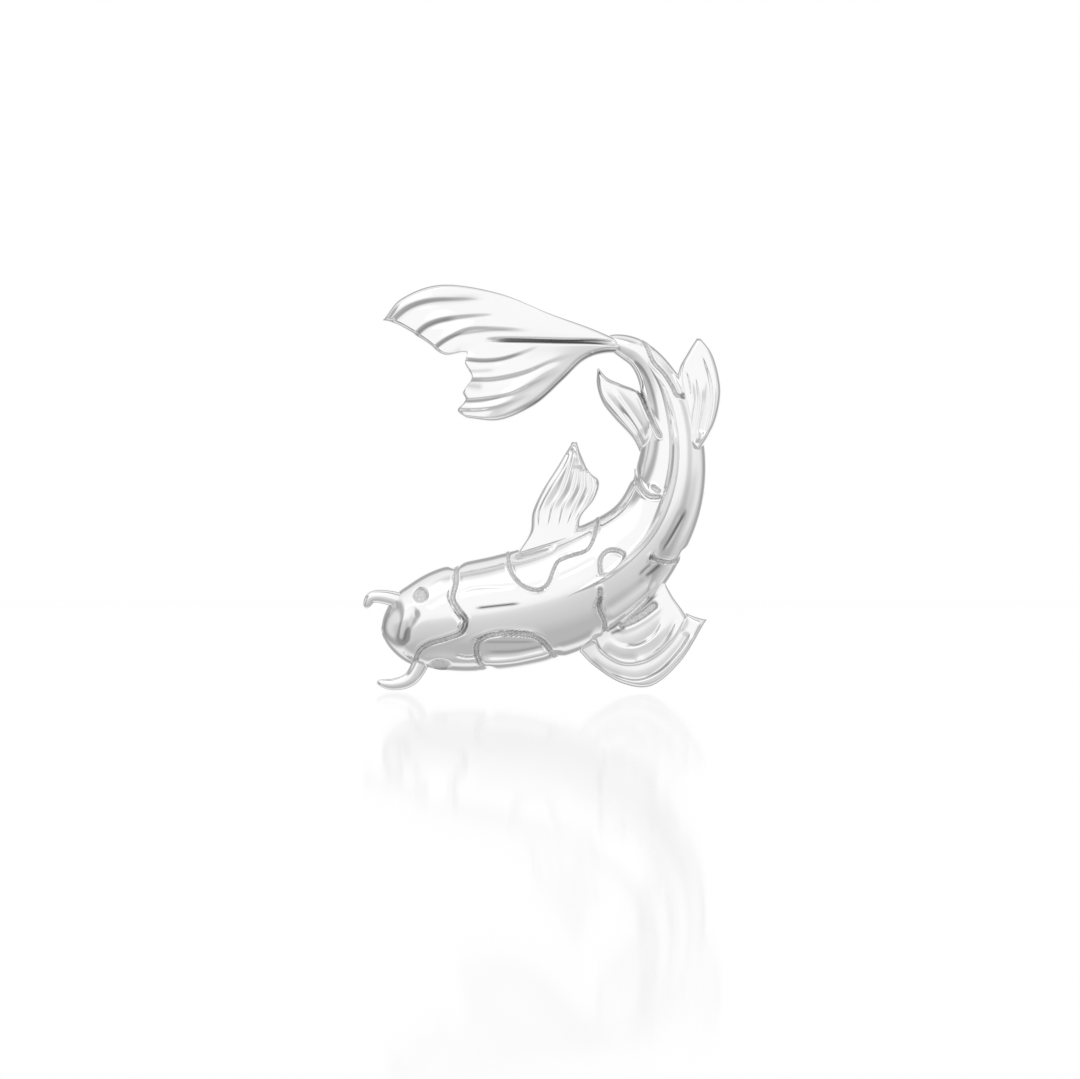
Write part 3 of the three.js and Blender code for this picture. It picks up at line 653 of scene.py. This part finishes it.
def make_inner_pectoral():
    return fin_piece(
        "koi_inner_pectoral_fin",
        upper=[(-4.4, -0.2), (-3.1, 1.9), (-2.8, 3.9), (-1.8, 6), (-0.5, 8), (1.2, 10.8)],
        lower=[(1.5, 1.6), (1.9, 3.4), (3.1, 5), (3.5, 6.7), (2.4, 7.9), (1.2, 10.8)],
        far=[(1.2, 10.8)],
        root=2.5, tip=1.3,
        steps=[
            ([(-3.4, -0.4), (-2.3, 2.2), (-2.1, 4), (-1.1, 6), (0.1, 7.9), (0.8, 9.4)], 0.33, -0.35),
            ([(-2.4, 0), (-1.4, 2.4), (-0.9, 4.4), (0, 6), (0.8, 8.4), (1.1, 9.8)], 0.33, -0.42),
            ([(-1.2, 0.4), (-0.4, 2.4), (0.1, 4.4), (1, 6), (1.4, 8.2), (1.3, 9.8)], 0.33, -0.42),
            ([(-0.2, 0.9), (0.5, 2.8), (1.2, 4.6), (1.9, 6.2), (1.9, 8.2)], 0.29, -0.42),
            ([(0.6, 1.3), (1.3, 3.2), (2.2, 4.9), (2.7, 6.2), (2.4, 8)], 0.26, -0.48),
        ],
    )


def make_outer_pectoral():
    lower_layer = fin_piece(
        "koi_outer_pectoral_fin_lower",
        upper=[(2.4, -7.2), (3.8, -8.4), (6.2, -8.9), (8.6, -8), (10.4, -6.4), (11.6, -5.6)],
        lower=[(1.3, -8.9), (3, -10.6), (5.6, -12.2), (8.4, -12.4), (11.2, -10), (13.5, -6.2)],
        far=[(11.6, -5.6), (12.4, -5.9), (13.5, -6.2)],
        root=1.5, tip=1.3, size=(240, 140), edge=0.5, tilt=0.7,
        steps=[
            ([(0.9, -8.4), (2.8, -10.1), (4.8, -11.3), (7, -11.8), (9, -11), (10.8, -9.2), (12, -7.4)],
             0.33, -0.32),
        ],
        # Painted shade in the lower layer's folds.
        shades=[
            ([(2.6, -9.6), (4, -10.8), (5.8, -11.6)], 0.28, 0.3),
            ([(7.6, -11.5), (9, -11), (10.2, -10)], 0.14, 0.3),
        ],
    )
    upper_layer = fin_piece(
        "koi_outer_pectoral_fin_upper",
        upper=[(4, -6.2), (5.4, -5.7), (7, -4.9), (8.1, -3.9), (8.9, -3), (9.4, -2.4)],
        lower=[(2.8, -8), (3.6, -9.4), (5.6, -10.5), (8, -10.2), (10.2, -8.5), (11.7, -6)],
        far=[(9.4, -2.4), (10.3, -4), (11.1, -5.1), (11.7, -6)],
        root=1.6, tip=1.5, back=0.8, size=(240, 160), edge=0.55, tilt=0.8,
        channels=[
            ([(5.6, -6.6), (6.6, -6.2), (7.6, -5.6), (8.5, -4.9)], 0.7, 0.3),
        ],
        steps=[
            ([(4.2, -7.7), (5.4, -8.5), (6.8, -8.6), (8.2, -7.9), (9, -6.9), (9.4, -5.6)], 0.4, -0.36, 0.6),
            ([(6.4, -9.9), (8, -9.5), (9.3, -8.5), (10.2, -7.2), (10.7, -5.8)], 0.4, -0.3, 0.6),
        ],
        # Painted shade in the upper layer's channel and folds.
        shades=[
            ([(6, -5.9), (7.4, -5), (9, -3.7)], 0.12, 0.85),
            ([(4.4, -7.5), (5.2, -7.2), (6, -6.9)], 0.17, 0.7),
            ([(5.9, -8.5), (7, -8.45), (8, -8)], 0.12, 0.65),
            ([(7.4, -9.9), (8.6, -9.2), (9.7, -8.1), (10.2, -7)], 0.22, 0.4),
        ],
        folds=[
            ([(3.6, -8.9), (5.4, -9.8), (7.2, -9.9)], 0.5, -0.2),
        ],
    )
    return lower_layer, upper_layer


def make_inner_pelvic():
    return fin_piece(
        "koi_inner_pelvic_fin",
        upper=[(9.4, 10.2), (8.4, 12.9), (7.2, 15), (5.5, 15.8), (4.2, 16.4), (3.3, 17.4)],
        lower=[(7.7, 8.6), (6.4, 10.7), (4.8, 12.5), (3.7, 14), (3.2, 15.7), (3.3, 17.4)],
        far=[(3.3, 17.4)],
        root=2.5, tip=1.2, edge=0.6, emerge=0.2,
        channels=[([(7.1, 15.2), (7.6, 14), (8.1, 12.8), (8.7, 11.6), (9.1, 10.6)], 0.4, 0.3)],
        steps=[
            ([(3.6, 16.4), (3.9, 14.8), (5.2, 13.1), (6.6, 11.3), (7.6, 9.6)], 0.39, -0.51),
            ([(4.3, 16.2), (5.1, 14.8), (6.3, 13.1), (7.3, 11.5), (8, 10)], 0.33, -0.48),
        ],
    )


def make_outer_pelvic():
    return fin_piece(
        "koi_outer_pelvic_fin",
        upper=[(11.9, 10.4), (11.5, 12.9), (11, 15), (10.8, 17), (11.6, 18.6), (12.7, 20.3)],
        lower=[(12.7, 9.2), (14.2, 11.8), (14.8, 14.3), (14.7, 16.3), (14, 18.6), (12.7, 20.3)],
        far=[(12.7, 20.3)],
        root=2.9, tip=1.4,
        steps=[
            ([(12.1, 18), (12.5, 15.8), (12.7, 14.2), (12.5, 12.4), (12.3, 10.2)], 0.33, 0.61),
            ([(12.6, 19.4), (13.3, 17.6), (13.8, 15.6), (13.8, 13.6), (13.2, 10.8)], 0.39, 0.58),
            ([(11.3, 17.6), (11.8, 16), (12, 14)], 0.26, 0.32, 0.6),
        ],
    )


def make_fins():
    lower_layer, upper_layer = make_outer_pectoral()
    return {
        "tail_fan": make_tail(),
        "inner_pectoral_fin": make_inner_pectoral(),
        "outer_pectoral_fin_lower": lower_layer,
        "outer_pectoral_fin_upper": upper_layer,
        "inner_pelvic_fin": make_inner_pelvic(),
        "outer_pelvic_fin": make_outer_pelvic(),
    }


# The dorsal fin's section, in shares across it: where its crest runs, how far its flanks fall and how
# hollow they are, and a fine line beside the crest: its place, depth and width.
CREST_PLACE = 0.15
CREST_FALL = 1.5
CREST_POWER = 0.8
LINE_PLACE, LINE_DEPTH, LINE_WIDTH = -0.5, 0.3, 0.12
# The matte floor of that line: its place, strength and width.
FLOOR_PLACE, FLOOR_MATTE, FLOOR_WIDTH = -0.45, 0.4, 0.1
DORSAL_ALONG, DORSAL_ACROSS = 500, 48


def make_dorsal_fin():
    """A long low ridge on the middle of the back, with a sharp crest and a fine line beside it."""
    stations = [
        (0.5, -4, 0.3, BODY_DEPTH + 0.25), (4.3, -2, 0.75, 5.6), (8, 1.5, 0.85, 5.15),
        (9.9, 5.5, 0.85, 4.7), (10.5, 10, 0.8, 4.2), (9.7, 14.6, 0.6, 3.6), (8, 17.6, 0.3, 2.7),
    ]
    u = np.linspace(0, 1, grid_size(DORSAL_ALONG))
    across = np.linspace(-1, 1, grid_size(DORSAL_ACROSS))
    rows = through(stations, u)
    heading = np.gradient(rows[:, :2], axis=0)
    heading /= np.linalg.norm(heading, axis=1)[:, None]
    x = rows[:, 0, None] - heading[:, 1, None] * rows[:, 2, None] * across
    z = rows[:, 1, None] + heading[:, 0, None] * rows[:, 2, None] * across
    crest = 1 - np.abs(across - CREST_PLACE) / (1 + CREST_PLACE * np.sign(CREST_PLACE - across))
    profile = CREST_FALL * (np.clip(crest, 0, 1) ** CREST_POWER - 1)
    line = LINE_DEPTH * bell(across - LINE_PLACE, LINE_WIDTH)
    height = rows[:, 3, None] + profile[None, :] - line[None, :]
    mask = np.broadcast_to(FLOOR_MATTE * bell(across - FLOOR_PLACE, FLOOR_WIDTH), height.shape)
    front, rear = seated(x, z, height, np.zeros_like(height))
    painted_shade = np.zeros_like(height)
    return {"dorsal_fin": build_sheet("koi_dorsal_fin", x, z, front, rear, mask, painted_shade, CAST_SILVER)}


# ---------------------------------------------------------------- barbels

BARBEL_RADIUS = 0.85
# The whisker's axis stands this many radii above the rim of the body.
BARBEL_LIFT = 1.2
# How much of its radius it loses by the tip, and how closely and how suddenly the tip rounds off.
BARBEL_TAPER = 0.5
TIP_CLOSING, TIP_POWER = 0.985, 10
BARBEL_RINGS, BARBEL_SIDES = 90, 36


def barbel_piece(name, route):
    """A round whisker that thins towards a rounded tip."""
    rings, sides = BARBEL_RINGS, BARBEL_SIDES
    u = np.linspace(0, 1, rings)
    path = through(route, u)
    heading = np.gradient(path, axis=0)
    heading /= np.linalg.norm(heading, axis=1)[:, None]
    radius = BARBEL_RADIUS * (1 - BARBEL_TAPER * u)
    radius *= np.sqrt(np.clip(1 - TIP_CLOSING * u**TIP_POWER, 0, 1))
    angle = np.linspace(0, 2 * math.pi, sides, endpoint=False)
    lift = BARBEL_LIFT * BARBEL_RADIUS + RIM
    x = path[:, 0, None] - heading[:, 1, None] * radius[:, None] * np.cos(angle)
    z = path[:, 1, None] + heading[:, 0, None] * radius[:, None] * np.cos(angle)
    y = -lift + radius[:, None] * np.sin(angle)
    points = np.stack([x, y, z], -1).reshape(-1, 3)
    faces = [list(range(sides))[::-1], list(range((rings - 1) * sides, rings * sides))]
    for i in range(rings - 1):
        for j in range(sides):
            k = (j + 1) % sides
            faces.append([i * sides + j, i * sides + k, (i + 1) * sides + k, (i + 1) * sides + j])
    mesh = bpy.data.meshes.new(name)
    mesh.from_pydata(in_frame(points), [], faces)
    return finish_mesh(name, mesh, CAST_SILVER)


def make_barbels():
    return {
        "upper_barbel": barbel_piece(
            "koi_upper_barbel", [(-13.6, -5), (-15.9, -4.2), (-17.6, -4.1), (-18.3, -5.1)]),
        "lower_barbel": barbel_piece(
            "koi_lower_barbel", [(-12.8, -9.6), (-14, -11.6), (-15.6, -12.2), (-17.2, -12)]),
    }


# ---------------------------------------------------------------- pin findings

def dress_findings():
    """The pin's CAD parts keep their shape and get their own metals."""
    metals = {"drawn_silver": FINDINGS, "pin_steel": PIN_WIRE}
    for subpart in frame["record"]["subparts"]:
        metal = metals.get(subpart["material_slot"])
        if metal:
            for slot in frame["nodes"][subpart["node"]].material_slots:
                slot.material = metal


# ---------------------------------------------------------------- studio

def make_world():
    """A tent that is greyer low in front, with dark flags at the sides and beside the backdrop."""
    world = bpy.data.worlds.new("tent")
    bpy.context.scene.world = world
    world.use_nodes = True
    nodes = Nodes(world.node_tree)
    axes = nodes.add("ShaderNodeSeparateXYZ", {0: nodes.add("ShaderNodeTexCoord").outputs["Generated"]})
    x, y, z = (nodes.add("ShaderNodeMapRange", {0: axes.outputs[i], 1: -1.0, 2: 1.0}).outputs[0]
               for i in range(3))
    front = nodes.ramp(z, [
        (0.04, 0.5), (0.12, 0.5), (0.24, 0.62), (0.42, 0.7), (0.49, 0.78), (0.53, 0.95),
        (0.6, 1.0), (0.93, 1.0), (0.975, 0.55),
    ])
    back = nodes.ramp(y, [(0.55, 0.95), (0.76, 0.85), (0.82, 0.42), (0.92, 0.42), (0.96, 1.0)])
    behind = nodes.ramp(y, [(0.42, 0.0), (0.62, 1.0)])
    open_tent = nodes.add("ShaderNodeMix", {0: behind, 6: front, 7: back}, data_type="RGBA").outputs[2]
    flags = nodes.ramp(x, [(0.03, 0.8), (0.06, 0.45), (0.1, 0.45), (0.15, 1.0),
                           (0.85, 1.0), (0.9, 0.7), (0.94, 0.7), (0.97, 0.9)])
    tent = nodes.add(
        "ShaderNodeMix", {0: 1.0, 6: open_tent, 7: flags},
        data_type="RGBA", blend_type="MULTIPLY").outputs[2]
    seen = nodes.add("ShaderNodeLightPath").outputs["Is Camera Ray"]
    sky = nodes.add("ShaderNodeMix", {0: seen, 6: tent, 7: (1, 1, 1, 1)}, data_type="RGBA").outputs[2]
    background = nodes.add("ShaderNodeBackground", {"Color": sky, "Strength": 1.0})
    nodes.add("ShaderNodeOutputWorld", {"Surface": background.outputs[0]})


FLOOR_HALF_WIDTH = 0.6
FLOOR_GLOSS_SHARE = 0.2
# How far the floor lies below the lowest point of the fish, in metres.
FLOOR_GAP = 0.0001


def make_floor(level):
    """A white table with a faint soft reflection."""
    material, nodes = new_material("white_table")
    glow = nodes.add("ShaderNodeEmission", {"Color": (1, 1, 1, 1), "Strength": 1.0})
    gloss = nodes.add("ShaderNodeBsdfGlossy", {"Color": (1, 1, 1, 1), "Roughness": 0.06})
    mix = nodes.add(
        "ShaderNodeMixShader", {0: FLOOR_GLOSS_SHARE, 1: glow.outputs[0], 2: gloss.outputs[0]})
    nodes.add("ShaderNodeOutputMaterial", {"Surface": mix.outputs[0]})
    half = FLOOR_HALF_WIDTH
    mesh = bpy.data.meshes.new("floor")
    corners = [(-half, -half, level), (half, -half, level), (half, half, level), (-half, half, level)]
    mesh.from_pydata(corners, [], [(0, 1, 2, 3)])
    mesh.materials.append(material)
    floor = bpy.data.objects.new("floor", mesh)
    floor.visible_glossy = False
    bpy.context.scene.collection.objects.link(floor)


def make_light():
    """One weak soft light, high on the left and in front."""
    light = bpy.data.lights.new("softbox", "AREA")
    light.size = 0.3
    light.energy = 0.08
    softbox = bpy.data.objects.new("softbox", light)
    softbox.location = (-0.15, -0.2, 0.35)
    softbox.rotation_euler = (math.radians(35), 0, math.radians(-35))
    bpy.context.scene.collection.objects.link(softbox)


def make_camera():
    """Square on, from far enough that there is little perspective. The picture spans a few heights of
    the fish, which sits above its middle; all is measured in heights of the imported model."""
    low, high = np.array(cad_box)
    tall = high[2] - low[2]
    picture_width, distance = 2.666 * tall, 10.6 * tall
    left_of_centre, below_centre = 0.0066 * tall, 0.1295 * tall
    centre = (low + high) / 2
    data = bpy.data.cameras.new("camera")
    data.sensor_width = 36
    data.lens = data.sensor_width * distance / picture_width
    data.clip_start = 0.01
    data.clip_end = 10
    camera = bpy.data.objects.new("camera", data)
    camera.location = (centre[0] - left_of_centre, -distance, centre[2] - below_centre)
    camera.rotation_euler = (math.pi / 2, 0, 0)
    bpy.context.scene.collection.objects.link(camera)
    bpy.context.scene.camera = camera


# ---------------------------------------------------------------- assembly

make_camera()
make_world()
make_floor(cad_box[0][2] - FLOOR_GAP)
make_light()
bpy.context.scene.view_settings.view_transform = "Standard"

for node, piece in {**make_body(), **make_fins(), **make_dorsal_fin(), **make_barbels()}.items():
    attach(piece, "brooch")
    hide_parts(node)
dress_findings()
